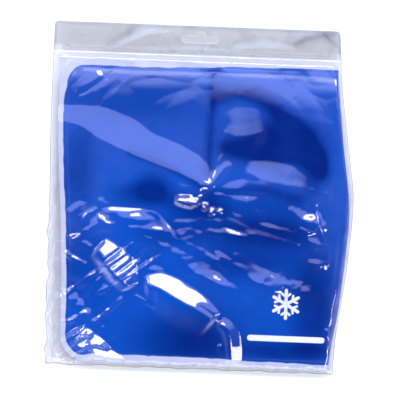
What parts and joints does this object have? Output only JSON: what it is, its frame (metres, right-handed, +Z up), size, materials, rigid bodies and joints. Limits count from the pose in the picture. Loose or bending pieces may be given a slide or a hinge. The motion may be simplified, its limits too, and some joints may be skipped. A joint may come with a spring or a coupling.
{
  "type": "cold compression wrap",
  "caption": "Rectangular blue gel wrap folded in half with its elastic strap, inside a clear flat bag with a zip header.",
  "frame": {"origin": "middle of the bag's underside, on the surface that it lies on", "axes": "+X across the bag towards the wrap's fold, +Y up the bag towards its header, +Z up out of the surface"},
  "size_m": [0.26, 0.297, 0.0223],
  "materials": {
    "clear_film": "gloss",
    "header_film": "gloss",
    "blue_film": "gloss",
    "cooling_gel": "satin",
    "elastic_webbing": "matte",
    "loop_pile": "matte",
    "hook_tape": "matte",
    "white_ink": "satin"
  },
  "bodies": {
    "bag": {"bag_back_film": "clear_film", "bag_front_film": "clear_film", "back_header_strip": "header_film", "zip_groove_track": "header_film", "back_hang_tab": "header_film"},
    "mouth_lip": {"front_lip_film": "clear_film", "front_header_strip": "header_film", "zip_ridge_track": "header_film", "front_hang_tab": "header_film"},
    "wrap_rear": {"rear_outer_film": "blue_film", "rear_inner_film": "blue_film", "rear_gel_fill": "cooling_gel", "fold_bridge": "blue_film", "strap_fixed_run": "elastic_webbing", "strap_bend": "elastic_webbing", "loop_patch": "loop_pile"},
    "wrap_front": {"front_outer_film": "blue_film", "front_inner_film": "blue_film", "front_gel_fill": "cooling_gel", "printed_flake": "white_ink", "printed_bar": "white_ink"},
    "strap_end": {"strap_free_run": "elastic_webbing", "hook_patch": "hook_tape"}
  },
  "joints": [
    {"name": "mouth_lip", "type": "hinge", "parent": "bag", "child": "mouth_lip", "pos_m": [0, 0.1226, 0.0028], "axis": [1, 0, 0], "range_deg": [0, 60]},
    {"name": "wrap_slide", "type": "slide", "parent": "bag", "child": "wrap_rear", "axis": [0, 1, 0], "range_m": [0, 0.31], "deforming": ["bag_front_film", "front_lip_film", "front_header_strip", "zip_ridge_track", "front_hang_tab"]},
    {"name": "wrap_fold", "type": "hinge", "parent": "wrap_rear", "child": "wrap_front", "pos_m": [0.117, 0, 0.01145], "axis": [0, 1, 0], "range_deg": [0, 180], "deforming": ["fold_bridge"]},
    {"name": "strap_unfold", "type": "hinge", "parent": "wrap_rear", "child": "strap_end", "pos_m": [0.0843, 0, 0.01145], "axis": [0, 1, 0], "range_deg": [0, 180], "deforming": ["strap_bend"]}
  ],
  "couplings": [
    {"joint": "wrap_fold", "follows": "wrap_slide", "rad_per_m": 10.134},
    {"joint": "strap_unfold", "follows": "wrap_slide", "rad_per_m": 10.134}
  ]
}
